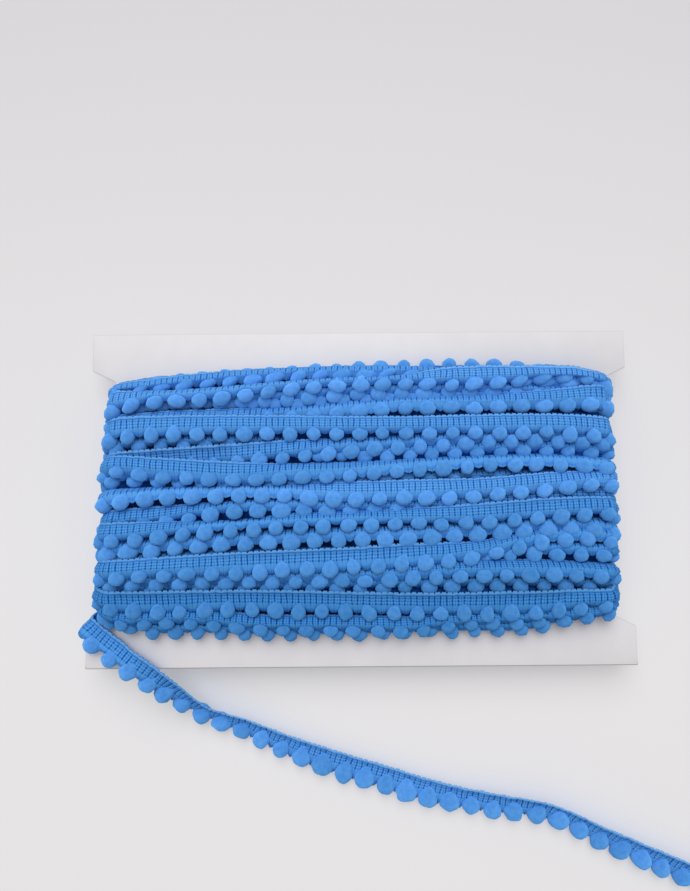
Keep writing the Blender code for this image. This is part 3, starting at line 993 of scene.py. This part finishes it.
@dataclass
class Winding:
    """The wound trim: its outer turns, grouped from top to bottom, over the inner ones."""

    trim: PompomTrim
    form: WoundForm
    tape: Material
    felt: Material
    inner: Material
    groups: tuple[str, ...] = ("upper", "middle", "lower")
    sample: float = 1.5  # loop places between two samples of a turn
    back_places: tuple[int, ...] = (80, 48, 16, -16, -48, -80)  # of a turn's stops across the back
    wander: float = 0.9  # mm by which it strays up or down there
    seed: int = 100  # of the first turn's own draws

    def back_stops(self, turn: Turn, rng: random.Random) -> list[Stop]:
        """Lead a turn across the back, from its right side to its left one.

        Args:
            turn: The turn.
            rng: Source of its wander.

        Returns:
            Stops from right to left.
        """
        left, right = turn.front[0][1], turn.front[-1][1]
        outer = turn.layer is Layer.OUTER
        stops = []
        for across in self.back_places:
            share = (self.form.side_middle - across) / (2 * self.form.side_middle)
            straight = right + (left - right) * share
            pulled = 1 - (abs(across) / self.form.side_middle) ** 3
            y = straight + (turn.back - (left + right) / 2) * pulled
            y += rng.uniform(-self.wander, self.wander)
            height = turn.layer.value + rng.uniform(-0.3, 0.0)
            show = rng.uniform(5.6, 6.6) if outer else 4.2
            edge = height + rng.uniform(-1.6, 0.6) if outer else height - 1.6
            stops.append((across, y, show, height, edge))
        return stops

    def follow(self, turn: Turn, rng: random.Random) -> tuple[TrimRun, float]:
        """Follow a turn round the card.

        Args:
            turn: The turn.
            rng: Source of its wander on the back.

        Returns:
            Its run, and how far along it the named pompom is.
        """
        middle, trip = self.form.side_middle, self.form.round_trip
        stops = [(across + middle, Vector(values)) for across, *values in turn.front]
        stops += [(3 * middle - across, Vector(values)) for across, *values in self.back_stops(turn, rng)]
        before = [(place - trip, value) for place, value in stops[-2:]]
        after = [(place + trip, value) for place, value in stops[:3]]
        stops = before + stops + after
        steps = round(trip / self.sample)
        pompoms, edges = [], []
        for i in range(steps):
            loop = trip * i / steps
            y, show, height, edge = smooth_value(stops, loop)
            pompoms.append(self.form.point(loop, y, height))
            edges.append(self.form.point(loop, y + show, edge))
        run = TrimRun(pompoms + pompoms[:1], edges + edges[:1], closed=True)
        nearest = min(range(steps // 2), key=lambda i: abs(pompoms[i].x - turn.pompom * MM))
        ahead = (turn.pompom * MM - pompoms[nearest].x) / max(run.tangents[nearest].x, 0.1)
        return run, run.travelled[nearest] + ahead

    def build(self) -> list[Object]:
        """Build every turn, grouped into a few pieces of tape and of pompoms.

        Returns:
            The pieces.
        """
        shape = PompomShape(self.trim, cuts=2)
        size = math.ceil(len(TURNS) / len(self.groups))
        pieces = [self.build_inner()]
        for number, group in enumerate(self.groups):
            tape, balls = bmesh.new(), bmesh.new()
            for i, turn in list(enumerate(TURNS))[number * size : (number + 1) * size]:
                rng = random.Random(self.seed + i)
                run, first = self.follow(turn, rng)
                replace(self.trim, lobe=turn.lobe).knit(tape, run, first, turn.tone)
                for place in self.trim.pompom_places(run, first):
                    shape.place(balls, run.at(place), rng, turn.squash, turn.size, turn.tone)
            for work, kind, dress in ((tape, "tape", self.tape), (balls, "pompoms", self.felt)):
                name = f"wound_{kind}_{group}"
                pieces.append(finish_piece(work, name, dress, ["wound_trim"]))
        shape.discard()
        return pieces

    def build_inner(self) -> Object:
        """Build the inner turns as one body round the neck, lumpy with the pompoms packed in it.

        Returns:
            The piece.
        """
        deep, rim, columns, rows = 1.6, 0.3, 400, 94
        top_middle, top_fall, low_middle, low_rise, tuck = 46.8, 5.8, -47.6, 7.0, 1.5
        thin_end, steep = 0.35, 8
        work = bmesh.new()
        grid = bmesh.ops.create_grid(work, x_segments=columns, y_segments=rows + 2, size=1.0)
        for i, vert in enumerate(grid["verts"]):
            row, column = divmod(i, columns + 1)
            loop = self.form.round_trip * (column % columns) / columns
            row %= rows + 2
            aside = min(1.0, abs(self.form.across(loop)) / self.form.side_middle)
            top = top_middle - top_fall * aside**2
            bottom = low_rise * aside**4 + low_middle
            if row in (0, rows + 1):
                y = top - tuck if row == 0 else bottom + tuck
                vert.co = self.form.point(loop, y, rim)
                continue
            share = (row - 1) / (rows - 1)
            y = top + (bottom - top) * share
            ends = min(1.0, steep * share + thin_end, steep * (1 - share) + thin_end)
            vert.co = self.form.point(loop, y, (deep + self.packed(loop, y)) * ends)
        bmesh.ops.remove_doubles(work, verts=work.verts, dist=1e-7)
        return finish_piece(work, "wound_inner_turns", self.inner, ["wound_trim"])

    def packed(self, loop: float, y: float) -> float:
        """Find how far the nearest packed pompom stands out of the inner body.

        Args:
            loop: Loop place.
            y: Height on the card.

        Returns:
            The distance, in mm.
        """
        row_pitch, radius, balls_a_row, stagger = 4.9, 2.9, 49, 0.37
        pitch = self.form.round_trip / balls_a_row
        best = 0.0
        nearest = round(y / row_pitch)
        for row in (nearest - 1, nearest, nearest + 1):
            phase = (row * stagger) % 1.0
            off = (loop / pitch + phase + 0.5) % 1.0 - 0.5
            apart = math.hypot(off * pitch, y - row * row_pitch) / radius
            best = max(best, radius * math.sqrt(max(0.0, 1 - apart * apart)))
        return best


# ---- the loose end


# Places on the loose end: X, Y and Z of its pompoms' line in mm, the tape's tilt in degrees, and the mm by
# which the net rides up over the pompoms, below 0 where it passes behind them. At a tilt of 0 the tape lies
# level on the far side of the pompoms, and at 90 it stands up from them.
LOOSE_END = (
    (-99.3, -49.6, 17.7, -5, 1), (-96.1, -52.2, 17.7, -5, 1.4), (-89.8, -56.7, 17.75, 0, 1.8),
    (-83.8, -60.9, 17.8, 9, 1.8), (-78, -65.2, 15.6, 16, 1.2), (-72.4, -70.4, 11.8, 24, 0),
    (-66.5, -75.5, 7.8, 37, -1.4), (-59.6, -80.3, 4.6, 47, -2.1), (-52.3, -84.1, 3.2, 43, -2.3),
    (-44.2, -87.3, 3, 36, -2.3), (-28.7, -94.9, 3, 18, -2), (-11.2, -101.2, 3, 10, -1.9),
    (7.9, -107, 3, 8, -1.9), (27.6, -112.6, 3, 12, -1.9), (48, -116.1, 3, 22, -2),
    (68.8, -118.9, 3, 34, -2.2), (88.4, -127.7, 3, 32, -2.2), (108.7, -136.7, 3, 26, -2.2),
    (134, -147.2, 3, 26, -2.2),
)
# Places where the loose end comes round the flange, in mm: its pompom line, and its upper edge.
WRAP = (
    ((-84, -46.8, 6.2), (-85, -40.2, 6.6)),
    ((-92, -47, 7.4), (-91.5, -40.4, 7.4)),
    ((-98.5, -47.6, 9.2), (-96, -41.4, 9.4)),
    ((-101.7, -48.4, 12.6), (-98, -42.8, 12.6)),
    ((-101.6, -48.9, 16), (-97.4, -43.6, 15)),
)


@dataclass
class LooseEnd:
    """The free end of the trim, from behind the flange, over its corner and down to the surface."""

    trim: PompomTrim
    tape: Material
    felt: Material
    first_pompom: float = 3.7 * MM  # from the first route stop
    pompoms: int = 32
    samples: int = 12  # between two stops
    tail: float = 0.55  # pitches of tape past the last pompom
    tone: float = 0.94  # darkens the whole loose end a little
    squash: float = 0.04  # how much its pompoms are pressed flat
    small: float = 0.88  # size of the first pompoms against the rest
    growing: int = 5  # pompoms over which they grow to full size
    width: float = 0.010  # of the tape lying flat, with its lobes
    mean_width: float = 0.0066  # of the same, averaged over the lobes
    seed: int = 7  # of its pompoms' own draws

    def route(self) -> tuple[TrimRun, float]:
        """Follow the whole loose end.

        Returns:
            Its run, and how far along it the first route stop is.
        """
        values = [(float(i), Vector(stop)) for i, stop in enumerate(LOOSE_END)]
        values = [(-1.0, values[0][1]), *values, (float(len(values)), values[-1][1])]
        count = (len(LOOSE_END) - 1) * self.samples
        read = [smooth_value(values, i / self.samples) for i in range(count + 1)]
        points = [value.xyz * MM for value in read]
        edges = []
        for i, (point, value) in enumerate(zip(points, read)):
            along = (points[min(i + 1, count)] - points[max(i - 1, 0)]).normalized()
            level = Vector((-along.y, along.x, 0.0)).normalized()
            tilt = math.radians(value[3])
            up_tape = level * math.cos(tilt) + along.cross(level) * math.sin(tilt)
            edges.append(point + up_tape * (self.trim.pompom_drop * MM))
        wrap = [(Vector(pompom) * MM, Vector(edge) * MM) for pompom, edge in WRAP]
        wrap += [(points[0], edges[0]), (points[self.samples // 2], edges[self.samples // 2])]
        early_points, early_edges = (self.curve(side) for side in zip(*wrap))
        covers = [read[0][4]] * len(early_points) + [value[4] for value in read]
        run = TrimRun(early_points + points, early_edges + edges, closed=False, covers=covers)
        return run, run.travelled[len(early_points)]

    def curve(self, stops: Sequence[Vector]) -> list[Vector]:
        """Draw a smooth curve through all but the last of some stops.

        Args:
            stops: The stops, the last of which only gives the direction.

        Returns:
            Its points, without the last stop but one.
        """
        placed = [(-1.0, stops[0])] + [(float(i), stop) for i, stop in enumerate(stops)]
        count = (len(stops) - 2) * self.samples
        return [smooth_value(placed, i / self.samples) for i in range(count)]

    def build(self) -> list[Object]:
        """Build the tape and its pompoms.

        Returns:
            The two pieces.
        """
        run, start = self.route()
        first = start + self.first_pompom
        pitch = self.trim.pompom_pitch
        end = first + (self.pompoms - 1 + self.tail) * pitch
        log.info("loose end: %.1f mm, route %.1f mm", end / MM, run.length / MM)
        cut = sum(distance < end for distance in run.travelled)
        run = TrimRun(run.pompoms[:cut], run.edges[:cut], closed=False, covers=run.covers[:cut])
        tape, balls = bmesh.new(), bmesh.new()
        self.trim.knit(tape, run, first, self.tone)
        bmesh.ops.holes_fill(tape, edges=[edge for edge in tape.edges if edge.is_boundary])
        shape = PompomShape(self.trim, cuts=4)
        rng = random.Random(self.seed)
        hidden = int(first / pitch)
        for i in [*range(-hidden, -1), *range(self.pompoms)]:
            grown = min(max(i / self.growing, 0.0), 1.0)
            scale = self.small + (1 - self.small) * grown
            shape.place(balls, run.at(first + i * pitch), rng, self.squash, scale, self.tone)
        shape.discard()
        nodes = [f"pompom_{number:02d}" for number in range(1, self.pompoms + 1)]
        ball_piece = finish_piece(balls, "loose_end_pompoms", self.felt, nodes)
        tape_piece = finish_piece(tape, "loose_end_knit", self.tape, ["loose_end_tape"])
        return [tape_piece, ball_piece]


# ---- the card


@dataclass
class WindingCard:
    """The die-cut card: two flanges joined by a neck, its edges a little rounded by the cutting."""

    board: Material
    half_width: float = 100.0 * MM
    half_height: float = 61.6 * MM
    flange_side: float = 14.0 * MM
    flange_chamfer: float = 4.1 * MM
    neck_inset: float = 8.5 * MM
    rounding: float = 0.35 * MM
    sharp: float = 40.0  # degrees of fold above which an edge isn't shaded smooth

    def build(self) -> Object:
        """Build the card.

        Returns:
            The piece.
        """
        low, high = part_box("winding_card")
        neck = self.half_width - self.neck_inset
        shoulder = self.half_height - self.flange_side
        notch = shoulder - self.flange_chamfer
        corner = [(self.half_width, self.half_height), (self.half_width, shoulder), (neck, notch)]
        right = corner + [(x, -y) for x, y in reversed(corner)]
        outline = right + [(-x, y) for x, y in reversed(right)]
        work = bmesh.new()
        face = work.faces.new([work.verts.new((x, y, low.z)) for x, y in outline])
        raised = bmesh.ops.extrude_face_region(work, geom=[face])
        verts = [part for part in raised["geom"] if isinstance(part, bmesh.types.BMVert)]
        bmesh.ops.translate(work, verts=verts, vec=(0.0, 0.0, high.z - low.z))
        bmesh.ops.recalc_face_normals(work, faces=work.faces)
        bmesh.ops.bevel(
            work, geom=work.edges[:], affect="EDGES", offset=self.rounding, segments=2, profile=0.5,
            material=-1,
        )
        piece = finish_piece(work, "card_board", self.board, ["winding_card"])
        piece.data.set_sharp_from_angle(angle=math.radians(self.sharp))
        return piece


# ---- floor, light and camera


@dataclass
class Studio:
    """Pale paper under the object, soft light from above its far side, and the camera over its face."""

    camera_place: Vector
    camera_turn: tuple[float, float, float]  # degrees
    lens: float = 25.86  # mm, on a long side of 36 mm
    floor_half: float = 1.6
    floor_gap: float = 0.05 * MM
    air: float = 0.42  # strength of the light from all round

    def build(self) -> None:
        """Build the floor, the lights, the world and the camera."""
        self.build_floor()
        self.add_light("key_ceiling", "SUN", Vector((-0.10, 0.74, 1.0)), 45.0, 1.25)
        self.add_light("softbox_over", "AREA", Vector((-0.05, 0.10, 0.60)), 0.50, 0.90)
        world = bpy.data.worlds.new("studio_air")
        world.use_nodes = True
        background = world.node_tree.nodes["Background"]
        background.inputs["Color"].default_value = linear("FFFAFA")
        background.inputs["Strength"].default_value = self.air
        bpy.context.scene.world = world
        bpy.context.scene.view_settings.view_transform = "Standard"
        self.add_camera()

    def build_floor(self) -> None:
        """Lay the floor just under the object."""
        work = bmesh.new()
        bmesh.ops.create_grid(work, x_segments=2, y_segments=2, size=self.floor_half)
        bmesh.ops.translate(work, verts=work.verts, vec=(0.0, 0.0, -self.floor_gap))
        floor = dress_mesh(work, "floor_paper", PaperFloor().make("matt background paper"))

    def add_light(self, name: str, kind: str, place: Vector, spread: float, power: float) -> None:
        """Hang one soft light that looks at the object.

        Args:
            name: The light's name.
            kind: SUN for light from a wide ceiling, or AREA for a square softbox.
            place: Where it hangs, in metres.
            spread: The angle that the ceiling light comes from, in degrees, or the softbox's side, in metres.
            power: In watts, or in watts a square metre for the ceiling light.
        """
        data = bpy.data.lights.new(name, kind)
        data.energy = power
        if kind == "SUN":
            data.angle = math.radians(spread)
        else:
            data.shape = "SQUARE"
            data.size = spread
        light = add_object(name, data)
        light.location = place
        light.rotation_euler = (-place).to_track_quat("-Z", "Y").to_euler()

    def add_camera(self) -> None:
        """Set up the camera."""
        data = bpy.data.cameras.new("camera")
        data.sensor_width = 36.0
        data.lens = self.lens
        data.clip_start = 0.01
        camera = add_object("camera", data)
        camera.location = self.camera_place
        camera.rotation_euler = [math.radians(angle) for angle in self.camera_turn]
        bpy.context.scene.camera = camera


def main() -> None:
    """Build every part in order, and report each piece."""
    logging.basicConfig(level=logging.INFO, format="%(name)s: %(message)s")
    noise.seed_set(KNIT_SEED)
    Studio(camera_place=Vector((-5.20, -0.51, 251.58)) * MM, camera_turn=(4.68, 0.068, -0.449)).build()
    tape = KnittedTape().make("warp knitted polyester tape")
    felt = FeltedYarn().make("felted polyester yarn")
    inner = InnerYarnInPaintedShade().make("packed inner trim")
    trim = PompomTrim()
    WindingCard(CoatedBoard().make("white coated board")).build()
    Winding(trim, WoundForm(), tape, felt, inner).build()
    LooseEnd(PompomTrim(8.2 * MM, pompom_drop=6.6, pompom_radius=3.6 * MM, lobe=3.2), tape, felt).build()


if __name__ == "__main__":
    main()
